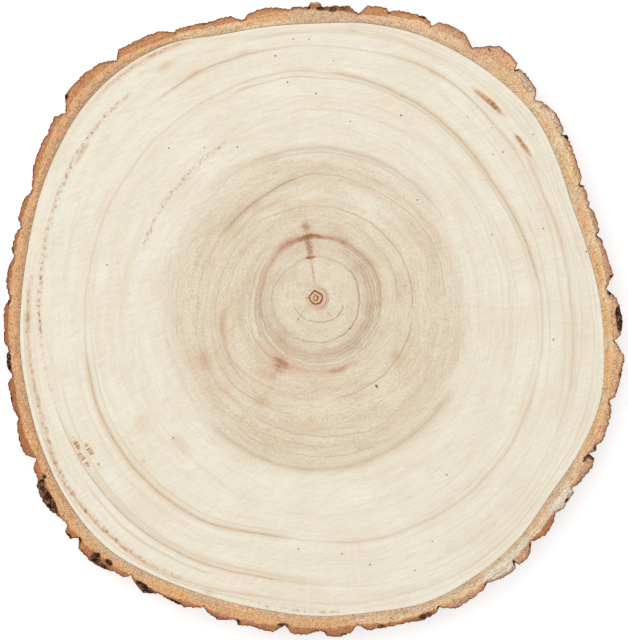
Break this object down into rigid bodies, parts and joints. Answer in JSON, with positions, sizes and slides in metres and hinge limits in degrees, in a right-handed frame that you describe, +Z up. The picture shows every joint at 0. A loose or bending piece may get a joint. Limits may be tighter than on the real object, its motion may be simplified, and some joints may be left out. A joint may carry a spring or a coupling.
{
  "type": "wood slice",
  "caption": "Round slice sawn across a small trunk, with flat sawn faces and rough bark left on the rim; a base, tray or board.",
  "frame": {"origin": "centre of the box round the slice, on its underside", "axes": "+Z up through the thickness, +X to the right and +Y away as the picture looks down on it"},
  "size_m": [0.28, 0.2862, 0.025],
  "materials": {
    "sawn_wood": "bare sawn end grain, matt",
    "bark": "rough dry bark in broken plates"
  },
  "bodies": {
    "root": {"wood_slice": "sawn_wood"}
  },
  "joints": []
}
